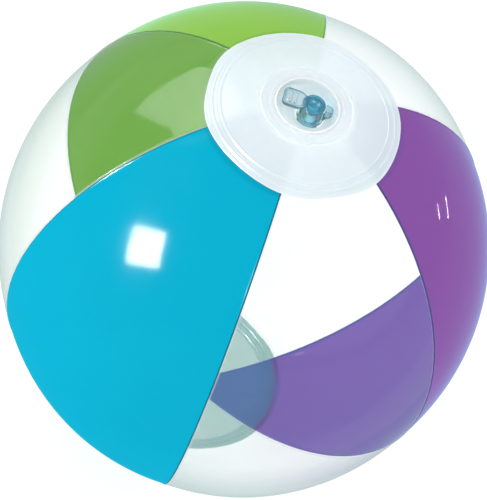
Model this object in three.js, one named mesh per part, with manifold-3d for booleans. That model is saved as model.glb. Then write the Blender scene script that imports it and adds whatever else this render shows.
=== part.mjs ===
// Inflatable beach ball: six welded film panels, two polar discs and a push-in inflation valve.
// Millimetres. +Z runs up the polar axis to the valve, and the origin is the lowest point, on the
// bottom disc. +X passes through the middle of the purple panel.

import * as THREE from 'three';
import { mergeVertices } from 'three/addons/utils/BufferGeometryUtils.js';
import Module from 'manifold-3d';

const wasm = await Module();
wasm.setup();

// Inflated ball
const EQUATOR_RADIUS = 130;
const POLE_RADIUS = 135;      // the welded discs hold the poles a little further out
const SEAM_PINCH = 0.8;       // how far a seam sits inside the middle of its panels
const FILM = 0.25;            // vinyl film
const WELD_GAP = 0.3;         // clearance between two films, or a film and a moulding
const TOP_TIP_RADIUS = 26;    // where the panel tips end under the top disc, outside the flange
const BOTTOM_TIP_RADIUS = 6;  // and under the bottom disc, short of the pole
const DISC_RADIUS = 50.4;     // outer edge of both polar discs

// Valve base: a flange welded under the top disc, with a well that the stem is pushed into
const DECK_RADIUS = 24.5;     // flat middle of the top disc, stiffened by the flange
const FLANGE_RADIUS = 23.8;
const FLANGE_THICKNESS = 0.8;
const WELL_RADIUS = 15.9;
const WELL_WALL = 1.2;
const WELL_DEPTH = 3;
const LIP_PROUD = 0.6;

// Valve stem, off centre in the well, and the soft bellows that carries it
const STEM_OFFSET_X = 3.4;
const STEM_OFFSET_Y = 3;
const STEM_RADIUS = 5.5;
const STEM_BORE = 4;
const STEM_LENGTH = 14;
const COLLAR_RADIUS = STEM_RADIUS + 1.5;
const COLLAR_THICKNESS = 1.5;
const BELLOWS_DROP = 8;       // height of the bellows between the well and the collar
const BELLOWS_WALL = 0.6;
const BELLOWS_BULGE = 1.9;    // how far it swells beyond a straight cone, halfway down

// Plug with its pull tab and strap
const PLUG_HEAD_RADIUS = STEM_RADIUS + 0.3;
const PLUG_HEAD_HEIGHT = 2;
const PLUG_DIMPLE_RADIUS = 2.2;
const PLUG_DIMPLE_DEPTH = 0.7;
const SHANK_CLEARANCE = 0.15; // round the top of the shank
const SHANK_TAPER = 0.85;     // how much narrower the shank is at its end
const SHANK_LENGTH = 4.5;
const TAB_REACH = 16.3;       // from the plug's axis to the end of the tab
const TAB_WIDTH = 11;
const TAB_CORNER = 2.5;
const TAB_THICKNESS = 1.3;
const RIDGE_RADIUS = 0.8;
const RIDGE_PITCH = 2.4;
const STRAP_WIDTH = 4.5;
const STRAP_THICKNESS = 1;
const STRAP_BEND = COLLAR_RADIUS + 2.2; // from the plug's axis to the strap's bend

// Non-return flap under the stem
const FLAP_RADIUS = (STEM_BORE + STEM_RADIUS) / 2 + 0.15;
const FLAP_THICKNESS = 0.5;
const FLAP_HINGE_WIDTH = 5;

// Facets
const PANEL_COLUMNS = 8;
const PANEL_ROWS = 18;
const DISC_RINGS = 4;
const VALVE_SIDES = 40;
const STEM_SIDES = 28;

const PANELS = [
  { name: 'panel_cyan', colour: 0x00b4d8 },
  { name: 'panel_clear_front', colour: 0xe8f2f4 },
  { name: 'panel_purple', colour: 0x8a53a2 },
  { name: 'panel_clear_back', colour: 0xe8f2f4 },
  { name: 'panel_green', colour: 0x97cc64 },
  { name: 'panel_clear_side', colour: 0xe8f2f4 },
];
const FIRST_PANEL_CENTRE = -2 / 3 * Math.PI;
const PANEL_ANGLE = 2 * Math.PI / PANELS.length;

// Heights: the ball's centre, the outside of the flat deck, and the valve's levels below it
const BALL_CENTRE_Z = POLE_RADIUS + WELD_GAP + FILM;
const latitudeAt = (radius) => Math.acos(radius / EQUATOR_RADIUS);
const DECK_Z = BALL_CENTRE_Z + POLE_RADIUS * Math.sin(latitudeAt(DECK_RADIUS)) + WELD_GAP + FILM;
const FLANGE_TOP = -FILM - WELD_GAP;
const STEM_TOP = -WELL_DEPTH;
const BELLOWS_TOP = -WELL_DEPTH - WELD_GAP;
const BELLOWS_FOOT = BELLOWS_TOP - BELLOWS_DROP;
const STEM_BOTTOM = STEM_TOP - STEM_LENGTH;

// A point of the ball's outline, as distance from the axis and height above the centre,
// moved outwards along the surface's normal.
function outline(latitude, offset) {
  const normal = new THREE.Vector2(
    Math.cos(latitude) / EQUATOR_RADIUS,
    Math.sin(latitude) / POLE_RADIUS,
  ).normalize();
  return new THREE.Vector2(
    EQUATOR_RADIUS * Math.cos(latitude),
    POLE_RADIUS * Math.sin(latitude),
  ).addScaledVector(normal, offset);
}

// Turns a closed profile, or one that starts and ends on the axis, about +Z, faces outwards.
function turned(profile, sides) {
  const points = THREE.ShapeUtils.area(profile) > 0 ? profile : [...profile].reverse();
  return new THREE.LatheGeometry(points, sides).rotateX(Math.PI / 2);
}

// One film panel: a block bent into a gore that is widest at the equator.
function panelGeometry(centre) {
  const geometry = new THREE.BoxGeometry(2, 1, 1, PANEL_COLUMNS, PANEL_ROWS, 1);
  const position = geometry.attributes.position;
  const lowTip = -latitudeAt(BOTTOM_TIP_RADIUS);
  const highTip = latitudeAt(TOP_TIP_RADIUS);
  for (let i = 0; i < position.count; i += 1) {
    const across = position.getX(i);
    const latitude = THREE.MathUtils.lerp(lowTip, highTip, position.getY(i) + 0.5);
    const point = outline(latitude, (position.getZ(i) - 0.5) * FILM);
    const radius = point.x - SEAM_PINCH * across ** 2 * Math.cos(latitude);
    const longitude = centre + across * (PANEL_ANGLE / 2 - WELD_GAP / 2 / point.x);
    position.setXYZ(i, radius * Math.cos(longitude), radius * Math.sin(longitude), point.y);
  }
  return geometry;
}

// A disc's two surfaces from its outer edge to an inner latitude.
function discArc(innerLatitude, offset) {
  const outerLatitude = latitudeAt(DISC_RADIUS);
  return Array.from({ length: DISC_RINGS + 1 }, (_, i) => {
    const share = i / DISC_RINGS;
    return outline(outerLatitude + (innerLatitude - outerLatitude) * share, offset);
  });
}

// Top disc: domed from its edge, flat over the flange, open round the well.
function topDiscGeometry() {
  const holeRadius = WELL_RADIUS + WELL_WALL + WELD_GAP;
  const outside = discArc(latitudeAt(DECK_RADIUS), WELD_GAP + FILM);
  const inside = discArc(latitudeAt(DECK_RADIUS), WELD_GAP);
  const deck = DECK_Z - BALL_CENTRE_Z;
  const profile = [
    ...outside.slice(0, -1),
    new THREE.Vector2(DECK_RADIUS, deck),
    new THREE.Vector2(holeRadius, deck),
    new THREE.Vector2(holeRadius, deck - FILM),
    new THREE.Vector2(DECK_RADIUS, deck - FILM),
    ...inside.slice(0, -1).reverse(),
  ];
  profile.push(profile[0].clone());
  return turned(profile, PANELS.length * PANEL_COLUMNS);
}

// Bottom disc: a plain dome that meets the axis.
function bottomDiscGeometry() {
  const outside = discArc(Math.PI / 2, WELD_GAP + FILM);
  const inside = discArc(Math.PI / 2, WELD_GAP);
  const profile = [...[...outside].reverse(), ...inside];
  profile[0].x = 0;
  profile[profile.length - 1].x = 0;
  return turned(profile, PANELS.length * PANEL_COLUMNS).rotateX(Math.PI);
}

// Valve base: the flange, the neck through the disc with its rounded lip, and the well's wall.
function valveBaseGeometry() {
  const neckRadius = WELL_RADIUS + WELL_WALL;
  const flangeFoot = FLANGE_TOP - FLANGE_THICKNESS;
  const lipRound = WELL_WALL / 4;
  const profile = [
    [WELL_RADIUS, STEM_TOP],
    [neckRadius, STEM_TOP],
    [neckRadius, flangeFoot],
    [FLANGE_RADIUS, flangeFoot],
    [FLANGE_RADIUS, FLANGE_TOP],
    [neckRadius, FLANGE_TOP],
    [neckRadius, LIP_PROUD - lipRound],
    [neckRadius - lipRound, LIP_PROUD],
    [WELL_RADIUS + lipRound, LIP_PROUD],
    [WELL_RADIUS, LIP_PROUD - lipRound],
    [WELL_RADIUS, STEM_TOP],
  ].map(([r, z]) => new THREE.Vector2(r, z));
  return turned(profile, VALVE_SIDES);
}

// Bellows: a thin bowl from under the well's wall to the collar, sheared over to the stem.
function bellowsGeometry() {
  const rim = WELL_RADIUS + WELL_WALL;
  const foot = COLLAR_RADIUS + WELD_GAP;
  const belly = (WELL_RADIUS + foot) / 2 + BELLOWS_BULGE;
  const bellyHeight = BELLOWS_TOP - BELLOWS_DROP / 2;
  const profile = [
    [rim, BELLOWS_TOP],
    [WELL_RADIUS, BELLOWS_TOP],
    [belly, bellyHeight],
    [foot, BELLOWS_FOOT + BELLOWS_WALL],
    [foot, BELLOWS_FOOT],
    [foot + WELL_WALL, BELLOWS_FOOT],
    [belly + BELLOWS_WALL, bellyHeight - BELLOWS_WALL],
    [rim, BELLOWS_TOP - BELLOWS_WALL],
    [rim, BELLOWS_TOP],
  ].map(([r, z]) => new THREE.Vector2(r, z));
  const geometry = turned(profile, VALVE_SIDES);
  const position = geometry.attributes.position;
  for (let i = 0; i < position.count; i += 1) {
    const depth = BELLOWS_TOP - position.getZ(i);
    const lean = THREE.MathUtils.clamp(depth / (BELLOWS_DROP - BELLOWS_WALL), 0, 1);
    position.setX(i, position.getX(i) + STEM_OFFSET_X * lean);
    position.setY(i, position.getY(i) + STEM_OFFSET_Y * lean);
  }
  return geometry;
}

// Stem: a tube with a collar level with the foot of the bellows.
function stemGeometry() {
  const collarFoot = BELLOWS_FOOT;
  const profile = [
    [STEM_BORE, STEM_BOTTOM],
    [STEM_RADIUS, STEM_BOTTOM],
    [STEM_RADIUS, collarFoot],
    [COLLAR_RADIUS, collarFoot],
    [COLLAR_RADIUS, collarFoot + COLLAR_THICKNESS],
    [STEM_RADIUS, collarFoot + COLLAR_THICKNESS],
    [STEM_RADIUS, STEM_TOP],
    [STEM_BORE, STEM_TOP],
    [STEM_BORE, STEM_BOTTOM],
  ].map(([r, z]) => new THREE.Vector2(r, z));
  return turned(profile, STEM_SIDES);
}

// Manifold solid of a closed geometry, and back.
function solid(geometry) {
  const bare = geometry.clone();
  bare.deleteAttribute('normal');
  bare.deleteAttribute('uv');
  const merged = mergeVertices(bare);
  return new wasm.Manifold(new wasm.Mesh({
    numProp: 3,
    vertProperties: new Float32Array(merged.attributes.position.array),
    triVerts: new Uint32Array(merged.index.array),
  }));
}

function geometryOf(manifold) {
  const mesh = manifold.getMesh();
  const geometry = new THREE.BufferGeometry();
  geometry.setAttribute('position', new THREE.BufferAttribute(new Float32Array(mesh.vertProperties), 3));
  geometry.setIndex(new THREE.BufferAttribute(new Uint32Array(mesh.triVerts), 1));
  return geometry;
}

// Plug: a dimpled round head on a tapered shank, with a ridged pull tab on the -X side.
function plugGeometry() {
  const headFoot = STEM_TOP + WELD_GAP;
  const headTop = headFoot + PLUG_HEAD_HEIGHT;
  const shankRadius = STEM_BORE - SHANK_CLEARANCE;
  const edgeRound = PLUG_HEAD_HEIGHT / 4;
  const body = turned([
    [0, headFoot - SHANK_LENGTH],
    [shankRadius - SHANK_TAPER, headFoot - SHANK_LENGTH],
    [shankRadius, headFoot],
    [PLUG_HEAD_RADIUS, headFoot],
    [PLUG_HEAD_RADIUS, headTop - edgeRound],
    [PLUG_HEAD_RADIUS - edgeRound, headTop],
    [PLUG_DIMPLE_RADIUS, headTop],
    [PLUG_DIMPLE_RADIUS / 2, headTop - PLUG_DIMPLE_DEPTH],
    [0, headTop - PLUG_DIMPLE_DEPTH],
  ].map(([r, z]) => new THREE.Vector2(r, z)), STEM_SIDES);

  const outlineShape = new THREE.Shape();
  const half = TAB_WIDTH / 2;
  const cornerX = TAB_CORNER - TAB_REACH;
  outlineShape.moveTo(-PLUG_DIMPLE_RADIUS - 1, half / 2);
  outlineShape.lineTo(-PLUG_DIMPLE_RADIUS - 1, -half / 2);
  outlineShape.lineTo(-PLUG_HEAD_RADIUS, -half);
  outlineShape.absarc(cornerX, TAB_CORNER - half, TAB_CORNER, -Math.PI / 2, -Math.PI, true);
  outlineShape.absarc(cornerX, half - TAB_CORNER, TAB_CORNER, Math.PI, Math.PI / 2, true);
  outlineShape.lineTo(-PLUG_HEAD_RADIUS, half);
  const tab = new THREE.ExtrudeGeometry(outlineShape, {
    depth: TAB_THICKNESS,
    bevelEnabled: false,
    curveSegments: 6,
  }).translate(0, 0, headFoot);

  let plug = solid(body).add(solid(tab));
  for (const step of [0, 1]) {
    const ridge = new THREE.CapsuleGeometry(RIDGE_RADIUS, TAB_WIDTH / 2, 3, 10);
    ridge.translate(half - TAB_REACH + step * RIDGE_PITCH, 0, headFoot + TAB_THICKNESS);
    plug = plug.add(solid(ridge));
  }
  return geometryOf(plug);
}

// Strap: leaves the head on the +X side, bends over and comes down to the collar.
function strapGeometry() {
  const headMiddle = STEM_TOP + WELD_GAP + PLUG_HEAD_HEIGHT / 2;
  const rootHeight = BELLOWS_FOOT + COLLAR_THICKNESS + WELD_GAP + STRAP_THICKNESS / 2;
  const path = new THREE.CatmullRomCurve3([
    new THREE.Vector3(PLUG_HEAD_RADIUS + WELD_GAP, 0, headMiddle),
    new THREE.Vector3(STRAP_BEND - 0.8, 0, headMiddle - 0.2),
    new THREE.Vector3(STRAP_BEND + 0.6, 0, STEM_TOP - 0.8),
    new THREE.Vector3(STRAP_BEND - 0.2, 0, STEM_TOP - 2.6),
    new THREE.Vector3(COLLAR_RADIUS + 0.4, 0, (STEM_TOP + rootHeight) / 2 - 0.6),
    new THREE.Vector3(COLLAR_RADIUS - 0.4, 0, rootHeight),
  ]);
  const section = new THREE.Shape();
  section.moveTo(-STRAP_WIDTH / 2, -STRAP_THICKNESS / 2);
  section.lineTo(STRAP_WIDTH / 2, -STRAP_THICKNESS / 2);
  section.lineTo(STRAP_WIDTH / 2, STRAP_THICKNESS / 2);
  section.lineTo(-STRAP_WIDTH / 2, STRAP_THICKNESS / 2);
  return new THREE.ExtrudeGeometry(section, { extrudePath: path, steps: 18, bevelEnabled: false });
}

// Flap: a thin disc that closes the stem's lower end, with a straight living hinge on its -X side.
function flapGeometry() {
  const hingeHalf = FLAP_HINGE_WIDTH / 2;
  const start = Math.atan2(-hingeHalf, -Math.sqrt(FLAP_RADIUS ** 2 - hingeHalf ** 2));
  const shape = new THREE.Shape();
  shape.absarc(0, 0, FLAP_RADIUS, start, -start, false);
  shape.lineTo(-STEM_RADIUS, hingeHalf);
  shape.lineTo(-STEM_RADIUS, -hingeHalf);
  return new THREE.ExtrudeGeometry(shape, {
    depth: FLAP_THICKNESS,
    bevelEnabled: false,
    curveSegments: 14,
  }).translate(0, 0, STEM_BOTTOM - WELD_GAP - FLAP_THICKNESS);
}

function piece(name, geometry, colour, roughness) {
  const material = new THREE.MeshStandardMaterial({ color: colour, roughness, metalness: 0 });
  const mesh = new THREE.Mesh(geometry, material);
  mesh.name = name;
  return mesh;
}

const ball = new THREE.Group();

const envelope = new THREE.Group();
envelope.position.z = BALL_CENTRE_Z;
PANELS.forEach(({ name, colour }, i) => {
  envelope.add(piece(name, panelGeometry(FIRST_PANEL_CENTRE + i * PANEL_ANGLE), colour, 0.15));
});
envelope.add(piece('top_disc', topDiscGeometry(), 0xe6f2f8, 0.2));
envelope.add(piece('bottom_disc', bottomDiscGeometry(), 0xe6f2f8, 0.2));
ball.add(envelope);

const valve = new THREE.Group();
valve.position.z = DECK_Z;
valve.add(piece('valve_base', valveBaseGeometry(), 0xdcecf2, 0.2));
valve.add(piece('valve_bellows', bellowsGeometry(), 0xdcecf2, 0.2));
ball.add(valve);

const stem = new THREE.Group();
stem.position.set(STEM_OFFSET_X, STEM_OFFSET_Y, 0);
stem.add(piece('valve_stem', stemGeometry(), 0xc4dfe8, 0.2));
stem.add(piece('valve_plug', plugGeometry(), 0x5f9fb4, 0.2));
stem.add(piece('plug_strap', strapGeometry(), 0x9cc6d4, 0.2));
stem.add(piece('check_flap', flapGeometry(), 0xc4dfe8, 0.2));
valve.add(stem);

export default ball;
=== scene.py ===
import math

import bmesh
import bpy
import numpy as np
from mathutils import Matrix, Vector


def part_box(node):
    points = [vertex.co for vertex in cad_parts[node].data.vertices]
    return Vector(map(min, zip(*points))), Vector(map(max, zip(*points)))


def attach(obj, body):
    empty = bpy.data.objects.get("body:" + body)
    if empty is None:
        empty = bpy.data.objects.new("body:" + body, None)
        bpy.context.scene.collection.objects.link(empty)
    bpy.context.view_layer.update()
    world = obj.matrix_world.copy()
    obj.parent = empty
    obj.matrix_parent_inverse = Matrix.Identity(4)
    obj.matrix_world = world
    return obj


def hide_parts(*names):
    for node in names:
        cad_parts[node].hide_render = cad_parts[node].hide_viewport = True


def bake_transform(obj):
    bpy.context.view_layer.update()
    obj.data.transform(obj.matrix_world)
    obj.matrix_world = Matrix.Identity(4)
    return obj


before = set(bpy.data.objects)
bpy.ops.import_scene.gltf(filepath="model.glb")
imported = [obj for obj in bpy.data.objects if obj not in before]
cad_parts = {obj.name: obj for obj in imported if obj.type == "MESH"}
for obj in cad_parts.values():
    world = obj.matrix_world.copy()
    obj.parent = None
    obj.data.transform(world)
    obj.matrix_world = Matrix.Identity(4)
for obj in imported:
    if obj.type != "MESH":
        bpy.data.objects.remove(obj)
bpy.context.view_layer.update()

# ------------------------------------------------------------------ Film panels
# Six gores of thin vinyl film, three coloured in the sheet and three clear, cut flat and joined
# edge to edge by a high-frequency weld that leaves a narrow bead. Blown up, each gore swells
# between its two seams and the film puckers a little along them.

MM = 0.001
PANEL_ANGLE = math.radians(60)
DISC_LAP = 0.55 * MM
DISC_RADIUS_MM = 50.4
DISC_RADIUS = DISC_RADIUS_MM * MM
equator_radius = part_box("panel_purple")[1].x
pole_radius = 135 * MM
centre_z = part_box("bottom_disc")[0].z + DISC_LAP + pole_radius


def film_point(latitude, longitude, rise=0.0):
    """Points of the blown-up ball from arrays of angles, moved out by rise along its normal."""
    flat = np.cos(latitude) / equator_radius
    up = np.sin(latitude) / pole_radius
    length = np.hypot(flat, up)
    radius = equator_radius * np.cos(latitude) + rise * flat / length
    height = centre_z + pole_radius * np.sin(latitude) + rise * up / length
    return np.stack([radius * np.cos(longitude), radius * np.sin(longitude), height], axis=-1)


def latitude_at(radius):
    return math.acos(radius / equator_radius)


def new_piece(name, verts, faces):
    mesh = bpy.data.meshes.new(name)
    mesh.from_pydata([tuple(v) for v in verts], [], faces)
    mesh.validate()
    mesh.shade_smooth()
    piece = bpy.data.objects.new(name, mesh)
    bpy.context.scene.collection.objects.link(piece)
    return piece


def film_sheet(name, grid, closed=False, **marks):
    """A film sheet over a grid of points; marks are values kept on each point for its material."""
    rows, columns = grid.shape[:2]
    faces = []
    for r in range(rows - 1):
        for c in range(columns if closed else columns - 1):
            d = (c + 1) % columns
            faces.append((r * columns + c, r * columns + d, (r + 1) * columns + d, (r + 1) * columns + c))
    piece = new_piece(name, grid.reshape(-1, 3), faces)
    for mark, values in marks.items():
        attribute = piece.data.attributes.new(mark, "FLOAT", "POINT")
        attribute.data.foreach_set("value", values.reshape(-1).astype(np.float32))
    return piece


PUCKER_WAVES_MM = (5.3, 8.9, 14.0, 23.0)
ANY_PHASE = 6.3


def puckers(along, away, seed, reach=7.0):
    """Small folds square to a seam: a few waves of unlike lengths, fading into the film."""
    rng = np.random.default_rng(seed)
    waves = np.zeros_like(along)
    for length in PUCKER_WAVES_MM:
        waves += np.sin(along / (length * MM) * 2 * math.pi + rng.uniform(0, ANY_PHASE)) * rng.uniform(0.5, 1)
    return waves * np.exp(-away / (reach * MM)) / 3


SEAM_PINCH = 0.8 * MM
BEAD_HEIGHT = 0.30 * MM
BEAD_PLACE = 0.75 * MM
BEAD_WIDTH = 0.40 * MM
GROOVE_DEPTH = 0.30 * MM
GROOVE_WIDTH = 0.30 * MM
PUCKER_HEIGHT = 0.10 * MM
PUCKER_SEED = 400
RIM_PUCKER_SEED_STEP = 7
RIM_PUCKER_SHARE = 1.2
RIM_PUCKER_REACH = 9.0
WELD_WIDTH = 0.80 * MM
# Line just outside the disc rim: painted shade on coloured gores, a dark shadow under the disc's edge; weld
# haze on clear gores.
RIM_SHADE_AND_WELD_PLACE = 0.9 * MM
RIM_SHADE_AND_WELD_WIDTH = 0.6 * MM
RIM_SHADE_AND_WELD_SHARE = 0.95
BACKED_LAP = 1.2 * MM
BACKED_FADE = 0.3 * MM
LOWER_TIP_RADIUS = 6 * MM
UPPER_TIP_RADIUS = 26 * MM
EDGE_STEPS = np.array([0, 0.18, 0.36, 0.55, 0.75, 0.95, 1.2, 1.6, 2.3, 3.3, 5, 7, 9.5]) * MM
EDGE_STEPS_HALF = 20 * MM


def gore(name, centre, rows=220, middle=34):
    """One panel as a curved sheet, with its columns closer together at the two welded edges."""
    latitude = np.linspace(-latitude_at(LOWER_TIP_RADIUS), latitude_at(UPPER_TIP_RADIUS), rows)[:, None]
    half = equator_radius * np.cos(latitude) * PANEL_ANGLE / 2
    edge = EDGE_STEPS[None, :] * np.minimum(1, half / EDGE_STEPS_HALF)
    body = np.linspace(-1, 1, middle)[None, 1:-1] * (half - edge[:, -1:])
    across = np.concatenate([-half + edge, body, (half - edge)[:, ::-1]], axis=1)
    away = half - np.abs(across)
    share = across / half
    along = latitude * (equator_radius + pole_radius) / 2 * np.ones_like(across)
    from_disc = equator_radius * np.cos(latitude) - DISC_RADIUS + np.zeros_like(across)
    rise = -SEAM_PINCH * share ** 2 * np.cos(latitude)
    rise = rise + BEAD_HEIGHT * np.exp(-((away - BEAD_PLACE) / BEAD_WIDTH) ** 2)
    rise = rise - GROOVE_DEPTH * np.exp(-(away / GROOVE_WIDTH) ** 2)
    left_seam = int(round(math.degrees(centre))) + PUCKER_SEED
    right_seam = left_seam + int(round(math.degrees(PANEL_ANGLE)))
    fold = np.where(across < 0, puckers(along, away, left_seam), puckers(along, away, right_seam))
    around = centre * equator_radius + across
    at_disc = puckers(around, np.maximum(0, from_disc), left_seam + RIM_PUCKER_SEED_STEP, RIM_PUCKER_REACH)
    fold = fold + RIM_PUCKER_SHARE * at_disc
    rise = rise + PUCKER_HEIGHT * fold
    weld = np.exp(-(away / WELD_WIDTH) ** 4)
    # Painted shade: the weld mark also takes a line just outside the disc rim, dark on coloured gores as a
    # shadow under the disc's edge, whitish weld haze on clear gores.
    rim_shade_and_weld = RIM_SHADE_AND_WELD_SHARE * np.exp(-((from_disc - RIM_SHADE_AND_WELD_PLACE) / RIM_SHADE_AND_WELD_WIDTH) ** 2)
    weld = np.maximum(weld, rim_shade_and_weld)
    # Under the disc the film takes the backed colour: partly the milky disc's tint seen through it, partly
    # painted shade of the light from behind that the disc holds back.
    backed = 1 / (1 + np.exp((from_disc + BACKED_LAP) / BACKED_FADE))
    longitude = centre + share * (PANEL_ANGLE / 2)
    points = film_point(latitude * np.ones_like(across), longitude, rise)
    return film_sheet(name, points, weld=weld, backed=backed)


def new_material(name):
    material = bpy.data.materials.new(name)
    material.use_nodes = True
    material.node_tree.nodes.clear()
    return material, material.node_tree


def node(tree, kind, inputs=None, **settings):
    """Adds a node with its settings, its fixed inputs and its links in from other nodes."""
    made = tree.nodes.new(kind)
    for key, value in settings.items():
        setattr(made, key, value)
    for key, value in (inputs or {}).items():
        if isinstance(value, bpy.types.NodeSocket):
            tree.links.new(value, made.inputs[key])
        else:
            made.inputs[key].default_value = value
    return made


def finish_material(tree, shader):
    node(tree, "ShaderNodeOutputMaterial", {"Surface": shader.outputs[0]})


def film_relief(tree, slow_strength):
    """Bump of a blown film: slow unevenness and a faint pebble."""
    place = node(tree, "ShaderNodeTexCoord").outputs["Object"]
    slow = node(tree, "ShaderNodeTexNoise", {"Vector": place, "Scale": 30.0, "Detail": 2.0})
    fine = node(tree, "ShaderNodeTexNoise", {"Vector": place, "Scale": 1100.0, "Detail": 3.0})
    first = node(tree, "ShaderNodeBump",
                 {"Height": slow.outputs["Fac"], "Strength": slow_strength, "Distance": 0.8 * MM})
    second = node(tree, "ShaderNodeBump",
                  {"Height": fine.outputs["Fac"], "Strength": 0.03, "Distance": 0.05 * MM,
                   "Normal": first.outputs["Normal"]})
    return place, second.outputs["Normal"]


def blend_colours(tree, factor, first, second):
    mixer = node(tree, "ShaderNodeMix", {0: factor, 6: first, 7: second}, data_type="RGBA")
    return mixer.outputs[2]


def mirror_share(tree, normal, least, most):
    """How edge-on the film is seen, and the share of light it mirrors: least square on, more edge on."""
    facing = node(tree, "ShaderNodeLayerWeight", {"Blend": 0.5, "Normal": normal}).outputs["Facing"]
    power = node(tree, "ShaderNodeMath", {0: facing, 1: 5.0}, operation="POWER").outputs[0]
    share = node(tree, "ShaderNodeMath", {0: power, 1: most, 2: least}, operation="MULTIPLY_ADD").outputs[0]
    return facing, share


def uneven_gloss(tree, place, normal, low, high):
    """A glossy face whose roughness wanders with handling marks."""
    smear = node(tree, "ShaderNodeTexNoise", {"Vector": place, "Scale": 50.0, "Detail": 6.0}).outputs["Fac"]
    rough = node(tree, "ShaderNodeMapRange", {"Value": smear, "From Min": 0.35, "From Max": 0.7,
                                              "To Min": low, "To Max": high}).outputs["Result"]
    return node(tree, "ShaderNodeBsdfGlossy", {"Color": (1, 1, 1, 1), "Roughness": rough, "Normal": normal})


def tinted_vinyl(name, front, through, share_through, weld_and_rim_shade_colour, backed_tint_and_shade_colour, gloss, roughness,
                 sheen_colour=None):
    """Film coloured in the sheet: glossy, nearly opaque, with some light coming through it and, with
    sheen_colour, a sheen where it is seen edge on."""
    material, tree = new_material(name)
    place, normal = film_relief(tree, 0.10)
    facing, share = mirror_share(tree, normal, *gloss)
    weld = node(tree, "ShaderNodeAttribute", attribute_name="weld").outputs["Fac"]
    backed = node(tree, "ShaderNodeAttribute", attribute_name="backed").outputs["Fac"]
    cloud = node(tree, "ShaderNodeTexNoise", {"Vector": place, "Scale": 16.0, "Detail": 5.0}).outputs["Fac"]
    darker = tuple(c * 0.94 for c in front)
    brighter = tuple(min(1, c * 1.06) for c in front)
    colour = blend_colours(tree, cloud, darker, brighter)
    # The weld colour darkens the seams, and just outside the disc rim it paints a shade line.
    colour = blend_colours(tree, weld, colour, weld_and_rim_shade_colour)
    # Backed colour: the disc's tint seen through the film mixed with painted shade of the blocked backlight.
    colour = blend_colours(tree, backed, colour, backed_tint_and_shade_colour)
    lit = node(tree, "ShaderNodeBsdfDiffuse", {"Color": colour, "Normal": normal})
    passed = node(tree, "ShaderNodeBsdfTranslucent", {"Color": through, "Normal": normal})
    film = node(tree, "ShaderNodeMixShader", {0: share_through, 1: lit.outputs[0], 2: passed.outputs[0]})
    if sheen_colour:
        grazing = node(tree, "ShaderNodeMath", {0: facing, 1: 6.0}, operation="POWER").outputs[0]
        sheen = node(tree, "ShaderNodeBsdfGlossy",
                     {"Color": sheen_colour, "Roughness": 0.5, "Normal": normal})
        film = node(tree, "ShaderNodeMixShader", {0: grazing, 1: film.outputs[0], 2: sheen.outputs[0]})
    face = uneven_gloss(tree, place, normal, roughness * 0.8, roughness * 1.2)
    finish_material(tree, node(tree, "ShaderNodeMixShader",
                               {0: share, 1: film.outputs[0], 2: face.outputs[0]}))
    return material


def clear_vinyl(name, square_on, edge_on, haze, weld_haze, gloss=(0.035, 0.30), roughness=0.09,
                glow_share=0.5):
    """Clear film: see-through, glossy, and greyer where it is seen edge on."""
    material, tree = new_material(name)
    place, normal = film_relief(tree, 0.22)
    facing, share = mirror_share(tree, normal, *gloss)
    depth = node(tree, "ShaderNodeMath", {0: facing, 1: 3.0}, operation="POWER").outputs[0]
    clear = node(tree, "ShaderNodeBsdfTransparent", {"Color": blend_colours(tree, depth, square_on, edge_on)})
    face = uneven_gloss(tree, place, normal, roughness * 0.7, roughness * 1.6)
    film = node(tree, "ShaderNodeMixShader", {0: share, 1: clear.outputs[0], 2: face.outputs[0]})
    weld = node(tree, "ShaderNodeAttribute", attribute_name="weld").outputs["Fac"]
    milk = node(tree, "ShaderNodeMath", {0: weld, 1: weld_haze, 2: haze}, operation="MULTIPLY_ADD").outputs[0]
    white = node(tree, "ShaderNodeBsdfDiffuse", {"Color": (0.93, 0.98, 0.99, 1), "Normal": normal})
    glow = node(tree, "ShaderNodeBsdfTranslucent", {"Color": (0.93, 0.98, 0.99, 1), "Normal": normal})
    cloudy = node(tree, "ShaderNodeMixShader", {0: glow_share, 1: white.outputs[0], 2: glow.outputs[0]})
    finish_material(tree, node(tree, "ShaderNodeMixShader",
                               {0: milk, 1: film.outputs[0], 2: cloudy.outputs[0]}))
    return material


cyan_vinyl = tinted_vinyl(
    "cyan_vinyl", front=(0.0, 0.445, 0.66, 1), through=(0.0, 0.44, 0.65, 1), share_through=0.12,
    weld_and_rim_shade_colour=(0.0, 0.13, 0.19, 1), backed_tint_and_shade_colour=(0.02, 0.42, 0.58, 1), gloss=(0.0045, 0.010),
    roughness=0.12)
purple_vinyl = tinted_vinyl(
    "purple_vinyl", front=(0.365, 0.030, 0.28, 1), through=(0.11, 0.23, 0.78, 1), share_through=0.38,
    weld_and_rim_shade_colour=(0.06, 0.015, 0.09, 1), backed_tint_and_shade_colour=(0.14, 0.26, 0.50, 1), gloss=(0.02, 0.20),
    roughness=0.05, sheen_colour=(0.16, 0.36, 0.74, 1))
green_vinyl = tinted_vinyl(
    "green_vinyl", front=(0.30, 0.585, 0.08, 1), through=(0.14, 0.58, 0.0, 1), share_through=0.20,
    weld_and_rim_shade_colour=(0.08, 0.20, 0.03, 1), backed_tint_and_shade_colour=(0.35, 0.62, 0.25, 1), gloss=(0.02, 0.12),
    roughness=0.09, sheen_colour=(0.25, 0.55, 0.37, 1))
film_clear = clear_vinyl("clear_vinyl", square_on=(0.985, 0.995, 0.995, 1), edge_on=(0.52, 0.64, 0.63, 1),
                         haze=0.004, weld_haze=0.45)

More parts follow.
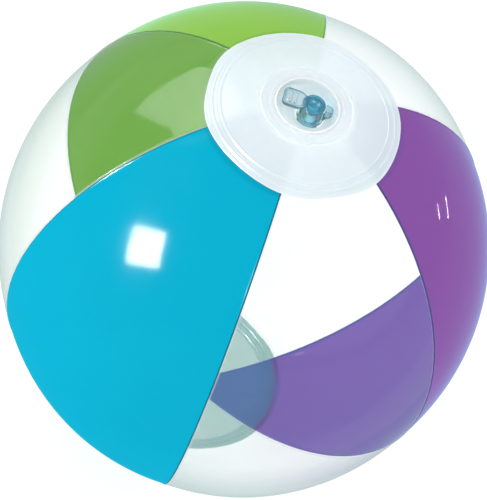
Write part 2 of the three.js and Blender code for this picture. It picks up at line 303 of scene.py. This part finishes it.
PANEL_LAYOUT = [
    ("panel_cyan", cyan_vinyl, "cyan_film"),
    ("panel_clear_front", film_clear, "clear_film"),
    ("panel_purple", purple_vinyl, "purple_film"),
    ("panel_clear_back", film_clear, "clear_film"),
    ("panel_green", green_vinyl, "green_film"),
    ("panel_clear_side", film_clear, "clear_film"),
]
FIRST_PANEL_ANGLE = math.radians(-120)
for index, (panel, vinyl, finish) in enumerate(PANEL_LAYOUT):
    sheet = gore(f"{panel}_film", FIRST_PANEL_ANGLE + index * PANEL_ANGLE)
    sheet.data.materials.append(vinyl)
    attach(sheet, "ball")
    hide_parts(panel)

# ------------------------------------------------------------------ Polar discs
# Two round patches of milky film over the tips of the gores. Each is welded round its rim by two
# concentric bars that emboss it; the top one is cut out for the valve and held flat round it.

deck_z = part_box("top_disc")[1].z
DECK_RADIUS = 24.5 * MM
DISC_HOLE_MM = 17.4
DISC_COLUMNS = 288
RIM_WAVES = (2, 3, 5, 9)
RIM_PULL = 0.55 * MM
RIM_FADE = 2.0 * MM
RIM_EDGE_WIDTH = 0.5 * MM
WELDED_BAND_RADIUS = 42.4 * MM
WELDED_BAND_FADE = 0.25 * MM
WELD_RINGS = [(43.2, 0.40, 0.55), (44.3, 0.45, -0.22), (46.8, 0.40, 0.55), (47.9, 0.45, -0.20),
              (49.9, 0.40, 0.36)]
VALVE_RINGS = [(23.6, 0.35, 0.30), (24.5, 0.35, -0.12), (21.4, 0.35, 0.10), (18.9, 0.30, 0.14)]


def embossing(radius, rings):
    """Raised and sunk rings of a welded disc: radius, width and height in millimetres."""
    return sum(height * MM * np.exp(-((radius - ring * MM) / (width * MM)) ** 2)
               for ring, width, height in rings)


def disc_sheet(name, radii, side, rings, seed):
    """A round film sheet over one pole; side is 1 for the top and -1 for the bottom."""
    turn = (np.arange(DISC_COLUMNS) / DISC_COLUMNS * 2 * math.pi)[None, :]
    radius = np.array(radii)[:, None] * MM * np.ones((1, DISC_COLUMNS))
    rim = np.maximum(0, DISC_RADIUS - radius)
    rng = np.random.default_rng(seed)
    wander = sum(rng.uniform(0.05, 0.15) * MM * np.sin(k * turn + rng.uniform(0, ANY_PHASE))
                 for k in RIM_WAVES)
    wander = wander - RIM_PULL * np.cos(len(PANEL_LAYOUT) * turn)
    edge_share = np.exp(-rim / RIM_FADE)
    latitude = np.arccos(np.clip((radius + wander * edge_share) / equator_radius, 0, 1))
    emboss = embossing(radius, rings)
    rise = DISC_LAP + emboss + PUCKER_HEIGHT * puckers(turn * DISC_RADIUS, rim, seed, 6.0)
    points = film_point(latitude * side, turn * side, rise)
    if side > 0:
        points[..., 2] = np.where(radius < DECK_RADIUS, deck_z + emboss, points[..., 2])
    weld = 1 / (1 + np.exp(-(radius - WELDED_BAND_RADIUS) / WELDED_BAND_FADE))
    edge = np.exp(-(rim / RIM_EDGE_WIDTH) ** 2)
    return film_sheet(name, points, closed=True, weld=weld, edge=edge)


def milky_vinyl(name, behind, milk, weld_milk, share_through, body, edge_colour, roughness):
    """Milky film: it scatters most light, lets a little straight through and has a satin face."""
    material, tree = new_material(name)
    place, normal = film_relief(tree, 0.30)
    facing, share = mirror_share(tree, normal, 0.04, 0.4)
    weld = node(tree, "ShaderNodeAttribute", attribute_name="weld").outputs["Fac"]
    edge = node(tree, "ShaderNodeAttribute", attribute_name="edge").outputs["Fac"]
    cloud = node(tree, "ShaderNodeTexNoise", {"Vector": place, "Scale": 60.0, "Detail": 6.0}).outputs["Fac"]
    dimmer = tuple(c * 0.95 for c in body)
    colour = blend_colours(tree, edge, blend_colours(tree, cloud, dimmer, body), edge_colour)
    amount = node(tree, "ShaderNodeMath", {0: weld, 1: weld_milk, 2: milk},
                  operation="MULTIPLY_ADD").outputs[0]
    amount = node(tree, "ShaderNodeMath", {0: edge, 1: 0.3, 2: amount}, operation="MULTIPLY_ADD",
                  use_clamp=True)
    lit = node(tree, "ShaderNodeBsdfDiffuse", {"Color": colour, "Normal": normal})
    passed = node(tree, "ShaderNodeBsdfTranslucent", {"Color": colour, "Normal": normal})
    scatter = node(tree, "ShaderNodeMixShader", {0: share_through, 1: lit.outputs[0], 2: passed.outputs[0]})
    clear = node(tree, "ShaderNodeBsdfTransparent", {"Color": behind})
    film = node(tree, "ShaderNodeMixShader",
                {0: amount.outputs[0], 1: clear.outputs[0], 2: scatter.outputs[0]})
    gloss = node(tree, "ShaderNodeBsdfGlossy",
                 {"Color": (1, 1, 1, 1), "Roughness": roughness, "Normal": normal})
    finish_material(tree, node(tree, "ShaderNodeMixShader",
                               {0: share, 1: film.outputs[0], 2: gloss.outputs[0]}))
    return material


top_milky = milky_vinyl(
    "top_disc_vinyl", behind=(0.93, 0.97, 0.98, 1), milk=0.97, weld_milk=0.0, share_through=0.12,
    body=(0.85, 0.945, 0.99, 1), edge_colour=(1, 1, 1, 1), roughness=0.20)
# The bottom disc is the same milky film as the top one; its darker grey-green body and rim colours are
# painted shade of the dim light where it rests on the table.
shaded_bottom_milky = milky_vinyl(
    "bottom_disc_vinyl_shaded", behind=(0.90, 0.97, 0.96, 1), milk=0.66, weld_milk=0.22, share_through=0.35,
    body=(0.34, 0.58, 0.57, 1), edge_colour=(0.45, 0.68, 0.66, 1), roughness=0.24)

# Radii in millimetres of the rows of points, closer together where the film is embossed.
rim_steps = np.arange(DISC_RADIUS_MM, 41.9, -0.14)
valve_steps = np.concatenate([np.arange(25.1, DISC_HOLE_MM, -0.13), [DISC_HOLE_MM]])
top_radii = np.concatenate([rim_steps, np.arange(41, 25.4, -0.8), valve_steps])
top_disc = disc_sheet("top_disc_film", top_radii, 1, WELD_RINGS + VALVE_RINGS, 71)
bottom_radii = np.concatenate([rim_steps, np.arange(41, 0.9, -1.0), [0.5, 0.02]])
bottom_disc = disc_sheet("bottom_disc_film", bottom_radii, -1, WELD_RINGS, 72)
for disc, milky, replaced in ((top_disc, top_milky, "top_disc"), (bottom_disc, shaded_bottom_milky, "bottom_disc")):
    disc.data.materials.append(milky)
    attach(disc, "ball")
    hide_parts(replaced)

# ------------------------------------------------------------------ Valve base
# One moulding of soft clear vinyl: a flat flange welded under the top disc, a neck through its hole
# with a rounded lip, and the wall of the round well that the stem is pushed into.

WELL_RADIUS = 15.9 * MM
WELL_WALL = 1.2 * MM
FLANGE_RADIUS = 23.8 * MM
FLANGE_THICKNESS = 0.8 * MM
BASE_ROUND = 0.45 * MM
ROUND_SIDES = 160


def rounded(points, radius, steps=5):
    """Rounds the corners of a closed outline of (distance, height) points."""
    smooth = []
    count = len(points)
    for i in range(count):
        before, corner, after = (Vector(points[(i + k) % count]) for k in (-1, 0, 1))
        reach = min(radius, (before - corner).length / 2.05, (after - corner).length / 2.05)
        start = corner + (before - corner).normalized() * reach
        end = corner + (after - corner).normalized() * reach
        for k in range(steps + 1):
            t = k / steps
            smooth.append(start * (1 - t) ** 2 + corner * 2 * t * (1 - t) + end * t ** 2)
    return smooth


def lathe(name, outline, sides, centre=(0, 0), closed=True):
    """Turns an outline about an upright axis; a closed outline makes a ring, an open one a skin."""
    turn = np.arange(sides) / sides * 2 * math.pi
    radius = np.array([p[0] for p in outline])[:, None]
    height = np.array([p[1] for p in outline])[:, None] * np.ones((1, sides))
    points = np.stack([centre[0] + radius * np.cos(turn), centre[1] + radius * np.sin(turn), height], axis=-1)
    if closed:
        points = np.concatenate([points, points[:1]])
    piece = film_sheet(name, points, closed=True)
    weld_points(piece, 0.005 * MM)
    return piece


def weld_points(piece, distance):
    """Joins points that coincide and turns every face outwards."""
    build = bmesh.new()
    build.from_mesh(piece.data)
    bmesh.ops.remove_doubles(build, verts=build.verts, dist=distance)
    bmesh.ops.recalc_face_normals(build, faces=build.faces)
    build.to_mesh(piece.data)
    build.free()
    piece.data.shade_smooth()


def moulded_vinyl(name, thin, thick, transmission, roughness=0.06, edge_glass=None):
    """Soft vinyl from the mould: glossy, faintly uneven, deeper in colour where it is thick. With
    edge_glass it is also darker where the light passes along its edges."""
    material, tree = new_material(name)
    place = node(tree, "ShaderNodeTexCoord").outputs["Object"]
    deep = node(tree, "ShaderNodeAttribute", attribute_name="deep").outputs["Fac"]
    flow = node(tree, "ShaderNodeTexNoise", {"Vector": place, "Scale": 260.0, "Detail": 3.0}).outputs["Fac"]
    cloud = node(tree, "ShaderNodeTexNoise", {"Vector": place, "Scale": 500.0, "Detail": 4.0}).outputs["Fac"]
    bump = node(tree, "ShaderNodeBump", {"Height": flow, "Strength": 0.35, "Distance": 0.25 * MM})
    rough = node(tree, "ShaderNodeMapRange", {"Value": cloud, "From Min": 0.3, "From Max": 0.7,
                                              "To Min": roughness * 0.5, "To Max": roughness * 1.8})
    tint = blend_colours(tree, deep, thin, thick)
    colour = blend_colours(tree, cloud, tint, blend_colours(tree, deep, tuple(c * 0.9 for c in thin),
                                                            tuple(c * 0.8 for c in thick)))
    moulding = node(tree, "ShaderNodeBsdfPrincipled",
                    {"Base Color": colour, "Roughness": rough.outputs["Result"], "IOR": 1.53,
                     "Transmission Weight": transmission, "Normal": bump.outputs["Normal"]})
    if edge_glass:
        layer = node(tree, "ShaderNodeLayerWeight", {"Blend": 0.5, "Normal": bump.outputs["Normal"]})
        facing = layer.outputs["Facing"]
        edge_on = node(tree, "ShaderNodeMath", {0: facing, 1: 2.4}, operation="POWER").outputs[0]
        edge = node(tree, "ShaderNodeBsdfGlass", {"Color": edge_glass, "Roughness": roughness, "IOR": 1.53,
                                                  "Normal": bump.outputs["Normal"]})
        moulding = node(tree, "ShaderNodeMixShader", {0: edge_on, 1: moulding.outputs[0], 2: edge.outputs[0]})
    finish_material(tree, moulding)
    return material


def mark_depth(piece, depth):
    """Keeps on each point how thick the moulding is there, from 0 to 1."""
    attribute = piece.data.attributes.new("deep", "FLOAT", "POINT")
    attribute.data.foreach_set("value", [float(depth(v.co)) for v in piece.data.vertices])


base_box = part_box("valve_base")
neck = WELL_RADIUS + WELL_WALL
flange_top = deck_z - DISC_LAP
base_outline = rounded([
    (WELL_RADIUS, base_box[0].z), (neck, base_box[0].z), (neck, flange_top - FLANGE_THICKNESS),
    (FLANGE_RADIUS, flange_top - FLANGE_THICKNESS), (FLANGE_RADIUS, flange_top), (neck, flange_top),
    (neck, base_box[1].z), (WELL_RADIUS, base_box[1].z)], BASE_ROUND)
valve_base = lathe("valve_base_moulding", base_outline, ROUND_SIDES)
clear_moulding = moulded_vinyl("clear_moulding", thin=(0.95, 0.985, 1.0, 1), thick=(0.95, 0.985, 1.0, 1),
                               transmission=0.02)
valve_base.data.materials.append(clear_moulding)
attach(valve_base, "ball")
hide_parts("valve_base")

# ------------------------------------------------------------------ Valve bellows
# The thin soft part of the same vinyl between the well and the stem: a bowl with shallow rolled
# folds that turns inside out as the stem is pulled up. Bonded to the wall above, the collar below.

stem_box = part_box("valve_stem")
stem_x = (stem_box[0].x + stem_box[1].x) / 2
stem_y = (stem_box[0].y + stem_box[1].y) / 2
bellows_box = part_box("valve_bellows")
bellows_top, bellows_foot = bellows_box[1].z, bellows_box[0].z
BOWL_STEPS = 41
BOWL_MOUTH = 16.5 * MM
BOWL_BELLY = 14.9 * MM
BOWL_FOOT = 7.6 * MM
BELLY_RISE = 2.0 * MM
FOOT_RISE = 0.35 * MM
ROLL_DEPTH = 0.18 * MM
ROLLS = 5
LEAN_DEPTH = 7.4 * MM
bowl = []
for k in range(BOWL_STEPS):
    t = k / (BOWL_STEPS - 1)
    along_radius = BOWL_MOUTH * (1 - t) ** 2 + 2 * BOWL_BELLY * t * (1 - t) + BOWL_FOOT * t ** 2
    along_height = (bellows_top * (1 - t) ** 2 + 2 * (bellows_foot + BELLY_RISE) * t * (1 - t)
                    + (bellows_foot + FOOT_RISE) * t ** 2)
    roll = ROLL_DEPTH * math.sin(t * ROLLS * math.pi) * math.sin(t * math.pi)
    bowl.append((along_radius + roll, along_height - roll))
turn = np.arange(ROUND_SIDES) / ROUND_SIDES * 2 * math.pi
lean = np.array([min(1, max(0, (bellows_top - height) / LEAN_DEPTH)) for _, height in bowl])[:, None]
radius = np.array([r for r, _ in bowl])[:, None]
height = np.array([h for _, h in bowl])[:, None] * np.ones((1, ROUND_SIDES))
bellows = film_sheet("valve_bellows_skin", np.stack([
    radius * np.cos(turn) + stem_x * lean, radius * np.sin(turn) + stem_y * lean, height], axis=-1),
    closed=True, weld=np.zeros((BOWL_STEPS, ROUND_SIDES)))
bellows_clear = clear_vinyl("bellows_vinyl", square_on=(0.93, 0.97, 0.98, 1), edge_on=(0.45, 0.60, 0.64, 1),
                            haze=0.98, weld_haze=0.0, gloss=(0.03, 0.2), roughness=0.12, glow_share=0.15)
bellows.data.materials.append(bellows_clear)
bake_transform(bellows)
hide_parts("valve_bellows")

# ------------------------------------------------------------------ Valve stem
# The inflation tube, a soft clear vinyl moulding with a rolled rim and a collar that the bellows
# and the plug's strap hang on. It stands off centre in the well.

STEM_RADIUS = 5.5 * MM
STEM_BORE = 4 * MM
STEM_ROUND = 0.5 * MM
COLLAR_RADIUS = 7 * MM
COLLAR_HEIGHT = 1.5 * MM
collar_top = bellows_foot + COLLAR_HEIGHT
stem_outline = rounded([
    (STEM_BORE, stem_box[0].z), (STEM_RADIUS, stem_box[0].z), (STEM_RADIUS, bellows_foot),
    (COLLAR_RADIUS, bellows_foot), (COLLAR_RADIUS, collar_top), (STEM_RADIUS, collar_top),
    (STEM_RADIUS, stem_box[1].z), (STEM_BORE, stem_box[1].z)], STEM_ROUND)
valve_stem = lathe("valve_stem_tube", stem_outline, 96, (stem_x, stem_y))
stem_clear = moulded_vinyl("stem_vinyl", thin=(0.60, 0.92, 0.98, 1), thick=(0.60, 0.92, 0.98, 1),
                           transmission=0.9, edge_glass=(0.02, 0.20, 0.26, 1))
valve_stem.data.materials.append(stem_clear)
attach(valve_stem, "stem")
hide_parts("valve_stem")

# ------------------------------------------------------------------ Check flap
# A thin die-cut flap of vinyl under the stem that air pressure holds shut. Its straight edge is
# its hinge, bonded to the foot of the stem.

flap_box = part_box("check_flap")
FLAP_RADIUS = 4.9 * MM
FLAP_HINGE = 2.5 * MM
FLAP_ROUND = 0.12 * MM
hinge_turn = math.atan2(FLAP_HINGE, -math.sqrt(FLAP_RADIUS ** 2 - FLAP_HINGE ** 2))
flap_rim = [(stem_x + FLAP_RADIUS * math.cos(a), stem_y + FLAP_RADIUS * math.sin(a))
            for a in np.linspace(-hinge_turn, hinge_turn, 48)]
flap_rim += [(stem_x - STEM_RADIUS, stem_y + FLAP_HINGE), (stem_x - STEM_RADIUS, stem_y - FLAP_HINGE)]


def plate(name, rim, low, high, bevel):
    """A flat plate with its edges rounded."""
    count = len(rim)
    verts = [(x, y, low) for x, y in rim] + [(x, y, high) for x, y in rim]
    faces = [tuple(reversed(range(count))), tuple(range(count, 2 * count))]
    faces += [(i, (i + 1) % count, count + (i + 1) % count, count + i) for i in range(count)]
    piece = new_piece(name, verts, faces)
    build = bmesh.new()
    build.from_mesh(piece.data)
    edges = [e for e in build.edges if abs(e.verts[0].co.z - e.verts[1].co.z) < bevel / 10]
    bmesh.ops.bevel(build, geom=edges, offset=bevel, segments=3, affect="EDGES", profile=0.5)
    build.to_mesh(piece.data)
    build.free()
    return piece


check_flap = plate("check_flap_disc", flap_rim, flap_box[0].z, flap_box[1].z, FLAP_ROUND)
check_flap.data.shade_flat()
check_flap.data.materials.append(stem_clear)
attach(check_flap, "flap")
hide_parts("check_flap")

# ------------------------------------------------------------------ Valve plug
# A stopper moulded in blue-tinted soft vinyl: a round head with a dimple, a tapered shank that
# presses into the stem, and a flat tab with a raised edge and two ribs to pull it by.

plug_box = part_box("valve_plug")
HEAD_GAP = 0.3 * MM
HEAD_HEIGHT = 2 * MM
HEAD_RADIUS = 5.8 * MM
head_foot = stem_box[1].z + HEAD_GAP
head_top = head_foot + HEAD_HEIGHT
shank_foot = plug_box[0].z
TAB_HALF = 5.5 * MM
TAB_CORNER = 2.5 * MM
TAB_REACH = 16.3 * MM
TAB_THICKNESS = 1.3 * MM
TAB_ROUND = 0.3 * MM
TAB_BEAD_INSET = 0.7 * MM
TAB_BEAD_RADIUS = 0.55 * MM
RIB_RADIUS = 0.7 * MM
RIB_PLACES_MM = (-12.4, -9.8)
RIB_POINTS_MM = (-3.4, -1.5, 1.5, 3.4)
MOULD_VOXEL = 0.16 * MM
MOULD_SMOOTHING = 4
head_outline = [(0, shank_foot), (2.6 * MM, shank_foot), (3.0 * MM, shank_foot + 0.4 * MM),
                (3.8 * MM, head_foot), (5.4 * MM, head_foot), (HEAD_RADIUS, head_foot + 0.4 * MM),
                (HEAD_RADIUS, head_top - 0.55 * MM), (5.3 * MM, head_top - 0.1 * MM), (4.8 * MM, head_top),
                (2.6 * MM, head_top - 0.05 * MM), (2.2 * MM, head_top - 0.3 * MM),
                (1.4 * MM, head_top - 0.7 * MM), (0, head_top - 0.75 * MM)]
plug = lathe("valve_plug_moulding", head_outline, 72, (stem_x, stem_y), closed=False)


def tab_outline(inset):
    """The tab's outline, drawn in by inset: a waist at the head and a squarish rounded end."""
    half = TAB_HALF - inset
    corner = max(0.3 * MM, TAB_CORNER - inset)
    far = TAB_REACH - inset
    rim = [(-3.4 * MM, 2.6 * MM - inset), (-6.4 * MM, half * 0.88), (-8.0 * MM, half)]
    rim += [(-far + corner - corner * math.sin(a), half - corner + corner * math.cos(a))
            for a in np.linspace(0, math.pi / 2, 8)]
    rim += [(x, -y) for x, y in reversed(rim)]
    return [(stem_x + x, stem_y + y) for x, y in rim]


def direction_at(path, i):
    """Which way a path of points runs at one of them."""
    return (path[min(i + 1, len(path) - 1)] - path[max(i - 1, 0)]).normalized()


def skin_rings(name, rings):
    """A solid over a row of rings of points, with closed ends."""
    sides = len(rings[0])
    verts = [v for ring in rings for v in ring]
    faces = [(i * sides + j, i * sides + (j + 1) % sides,
              (i + 1) * sides + (j + 1) % sides, (i + 1) * sides + j)
             for i in range(len(rings) - 1) for j in range(sides)]
    faces += [tuple(reversed(range(sides))), tuple(range(len(verts) - sides, len(verts)))]
    piece = new_piece(name, verts, faces)
    weld_points(piece, 0.001 * MM)
    return piece


def tube_along(name, path, radius, sides=10):
    """A round bead along a path of points."""
    rings = []
    for i, here in enumerate(path):
        ahead = direction_at(path, i)
        side = ahead.cross(Vector((0, 0, 1))).normalized()
        up = side.cross(ahead)
        rings.append([here + (side * math.cos(a) + up * math.sin(a)) * radius
                      for a in np.linspace(0, 2 * math.pi, sides, endpoint=False)])
    return skin_rings(name, rings)


def fuse(piece, others, voxel, smoothing):
    """Unites solid pieces into one moulding and softens the joins, as a mould does."""
    for other in others:
        union = piece.modifiers.new("union", "BOOLEAN")
        union.operation = "UNION"
        union.solver = "EXACT"
        union.object = other
    remesh = piece.modifiers.new("remesh", "REMESH")
    remesh.mode = "VOXEL"
    remesh.voxel_size = voxel
    soften = piece.modifiers.new("soften", "SMOOTH")
    soften.factor = 0.5
    soften.iterations = smoothing
    bpy.context.view_layer.update()
    made = bpy.data.meshes.new_from_object(piece.evaluated_get(bpy.context.evaluated_depsgraph_get()))
    piece.modifiers.clear()
    piece.data = made
    piece.data.shade_smooth()
    for other in others:
        bpy.data.objects.remove(other)


tab_top = head_foot + TAB_THICKNESS
tab = plate("tab", tab_outline(0), head_foot, tab_top, TAB_ROUND)
bead_path = [Vector((x, y, tab_top)) for x, y in tab_outline(TAB_BEAD_INSET)]
edge_bead = tube_along("edge", bead_path, TAB_BEAD_RADIUS)
ribs = []
for place_x in RIB_PLACES_MM:
    rib_path = [Vector((stem_x + place_x * MM, stem_y + y * MM, tab_top)) for y in RIB_POINTS_MM]
    ribs.append(tube_along("rib", rib_path, RIB_RADIUS))
fuse(plug, [tab, edge_bead] + ribs, MOULD_VOXEL, MOULD_SMOOTHING)

HEAD_MARGIN = 0.4 * MM
HEAD_FADE = 0.3 * MM
EDGE_DEPTH = 0.75
EDGE_FADE = 1.1 * MM


def plug_depth(point):
    """Thick in the head and shank, thin in the tab apart from its raised edge."""
    x, y = point.x - stem_x, point.y - stem_y
    head = 1 / (1 + math.exp((math.hypot(x, y) - HEAD_RADIUS - HEAD_MARGIN) / HEAD_FADE))
    edge = min(TAB_HALF - abs(y), TAB_REACH + x)
    return max(head, EDGE_DEPTH * math.exp(-(edge / EDGE_FADE) ** 2))


mark_depth(plug, plug_depth)
plug_blue = moulded_vinyl("plug_vinyl", thin=(0.85, 0.96, 0.99, 1), thick=(0.11, 0.57, 0.76, 1),
                          transmission=0.85, edge_glass=(0.0, 0.08, 0.14, 1))
plug.data.materials.append(plug_blue)
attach(plug, "plug")
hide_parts("valve_plug")

# ------------------------------------------------------------------ Plug strap
# A short flat band of the same vinyl, moulded onto the plug's head at one end and bonded to the
# stem's collar at the other, so the plug stays on when it is pulled out.

STRAP_HALF = 2.25 * MM
STRAP_THICK = 1.0 * MM
STRAP_ROUND = 0.45 * MM
STRAP_WAIST = 0.18
STRAP_END_REACH = 6.6 * MM
STRAP_END_RISE = 0.75 * MM
STRAP_KNOTS_MM = [(6.0, -1.7), (7.2, -1.55), (8.5, -1.9), (9.6, -2.9),
                  (9.75, -4.3), (9.1, -5.7), (7.7, -6.9), (6.8, -8.0)]
knots = [Vector((x * MM, 0, deck_z + z * MM)) for x, z in STRAP_KNOTS_MM]
knots += [Vector((STRAP_END_REACH, 0, collar_top + STRAP_END_RISE))]


def smooth_path(points, steps):
    """A curve through every point, with even steps between them."""
    path = []
    for i in range(len(points) - 1):
        before, start, end, after = (points[min(max(i + k, 0), len(points) - 1)] for k in (-1, 0, 1, 2))
        for k in range(steps):
            t = k / steps
            path.append(0.5 * ((2 * start) + (end - before) * t
                               + (2 * before - 5 * start + 4 * end - after) * t ** 2
                               + (3 * start - before - 3 * end + after) * t ** 3))
    return path + [points[-1]]


strap_path = smooth_path(knots, 8)
section = rounded([(-STRAP_HALF, -STRAP_THICK / 2), (STRAP_HALF, -STRAP_THICK / 2),
                   (STRAP_HALF, STRAP_THICK / 2), (-STRAP_HALF, STRAP_THICK / 2)], STRAP_ROUND, 4)
rings = []
for i, here in enumerate(strap_path):
    out = Vector((0, 1, 0)).cross(direction_at(strap_path, i))
    waist = 1 - STRAP_WAIST * math.sin(math.pi * i / (len(strap_path) - 1))
    rings.append([Vector((stem_x, stem_y, 0)) + here + Vector((0, p[0] * waist, 0)) + out * p[1]
                  for p in section])
strap = skin_rings("plug_strap_band", rings)
strap_blue = moulded_vinyl("strap_vinyl", thin=(0.62, 0.86, 0.92, 1), thick=(0.62, 0.86, 0.92, 1),
                           transmission=0.95, edge_glass=(0.02, 0.20, 0.27, 1))
strap.data.materials.append(strap_blue)
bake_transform(strap)
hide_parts("plug_strap")

# ------------------------------------------------------------------ Studio
# The ball on a bright light table in an even room. A square soft box and a window show mirrored on
# the left and two thin strips on the right; one lamp fills from the left, one lights the valve.

camera_data = bpy.data.cameras.new("camera")
camera = bpy.data.objects.new("camera", camera_data)
bpy.context.scene.collection.objects.link(camera)
bpy.context.scene.camera = camera
CAMERA_AZIMUTH = math.radians(-6.6)
CAMERA_ELEVATION = math.radians(53.84)
CAMERA_ROLL = math.radians(23.9)
CAMERA_DISTANCE = 1.6946
camera_data.sensor_width = 36
camera_data.lens = 230.3
camera_data.clip_end = 20
middle = Vector((0, 0, centre_z))
back = Vector((math.sin(CAMERA_AZIMUTH) * math.cos(CAMERA_ELEVATION),
               -math.cos(CAMERA_AZIMUTH) * math.cos(CAMERA_ELEVATION), math.sin(CAMERA_ELEVATION)))
camera.matrix_world = (Matrix.Translation(middle + back * CAMERA_DISTANCE)
                       @ back.to_track_quat("Z", "Y").to_matrix().to_4x4()
                       @ Matrix.Rotation(CAMERA_ROLL, 4, "Z"))

ROOM_LIGHT = 0.92
world = bpy.data.worlds.new("room")
bpy.context.scene.world = world
world.use_nodes = True
world.node_tree.nodes["Background"].inputs["Color"].default_value = (1, 1, 1, 1)
world.node_tree.nodes["Background"].inputs["Strength"].default_value = ROOM_LIGHT
bpy.context.scene.view_settings.view_transform = "Standard"

TABLE_HALF = 6
TABLE_GREY = 0.35
TABLE_GLOW = 0.80
floor = new_piece("light_table", [(-TABLE_HALF, -TABLE_HALF, 0), (TABLE_HALF, -TABLE_HALF, 0),
                                  (TABLE_HALF, TABLE_HALF, 0), (-TABLE_HALF, TABLE_HALF, 0)], [(0, 1, 2, 3)])
table_material, tree = new_material("light_table")
finish_material(tree, node(tree, "ShaderNodeBsdfPrincipled",
                           {"Base Color": (TABLE_GREY, TABLE_GREY, TABLE_GREY, 1), "Roughness": 0.9,
                            "Specular IOR Level": 0.0, "Emission Color": (1, 1, 1, 1),
                            "Emission Strength": TABLE_GLOW}))
floor.data.materials.append(table_material)


def mirrored_place(latitude, longitude, distance):
    """Where a lamp stands for the ball to mirror it to the camera from that latitude and longitude."""
    spot = Vector([float(v) for v in film_point(np.radians(latitude), np.radians(longitude))])
    normal = Vector((spot.x / equator_radius ** 2, spot.y / equator_radius ** 2,
                     (spot.z - centre_z) / pole_radius ** 2)).normalized()
    away = (spot - camera.matrix_world.translation).normalized().reflect(normal)
    return spot, normal, spot + away * distance


def soft_box(name, spot, normal, place, width, height, radiance, roll=0.0, mirrored=True, spread=180):
    """A rectangular lamp that faces a spot on the ball; some only show mirrored, some only light."""
    away = (place - spot).normalized()
    upright = camera.matrix_world.to_3x3() @ Vector((math.sin(roll), math.cos(roll), 0))
    across = upright.reflect(normal).cross(away).normalized()
    lamp_data = bpy.data.lights.new(name, "AREA")
    lamp_data.shape = "RECTANGLE"
    lamp_data.size = width
    lamp_data.size_y = height
    lamp_data.energy = radiance * math.pi * width * height
    lamp_data.spread = math.radians(spread)
    lamp = bpy.data.objects.new(name, lamp_data)
    turned = Matrix((across, away.cross(across), away)).transposed().to_4x4()
    lamp.matrix_world = Matrix.Translation(place) @ turned
    lamp.visible_diffuse = not mirrored
    lamp.visible_glossy = mirrored
    bpy.context.scene.collection.objects.link(lamp)


BOX_DISTANCE = 2.0
STRIP_DISTANCE = 2.2
STRIP_WIDTH = 0.014
VALVE_LAMP_DISTANCE = 0.8
VALVE_LAMP_SHIFT = Vector((-0.05, 0, 0))
VALVE_LAMP_SIZE = 0.03
FILL_PLACE = Vector((-1.6, -0.3, 1.2))
upwards = Vector((0, 0, 1))
soft_box("key_box", *mirrored_place(40.9, -123.9, BOX_DISTANCE), width=0.61, height=0.56, radiance=240,
         roll=math.radians(13))
soft_box("window_box", *mirrored_place(63.9, -167.4, BOX_DISTANCE), width=1.3, height=1.1, radiance=4.0,
         roll=math.radians(49))
soft_box("strip_near", *mirrored_place(50.8, -10.9, STRIP_DISTANCE), width=STRIP_WIDTH, height=0.17,
         radiance=100)
soft_box("strip_far", *mirrored_place(48.9, -5.7, STRIP_DISTANCE), width=STRIP_WIDTH, height=0.24,
         radiance=100)
valve_spot = Vector((0, 0, deck_z))
soft_box("valve_light", valve_spot, upwards, valve_spot + back * VALVE_LAMP_DISTANCE + VALVE_LAMP_SHIFT,
         width=VALVE_LAMP_SIZE, height=VALVE_LAMP_SIZE, radiance=0.62, mirrored=False, spread=5)
soft_box("left_fill", middle, upwards, middle + FILL_PLACE, width=1.0, height=1.0, radiance=2.1,
         mirrored=False)
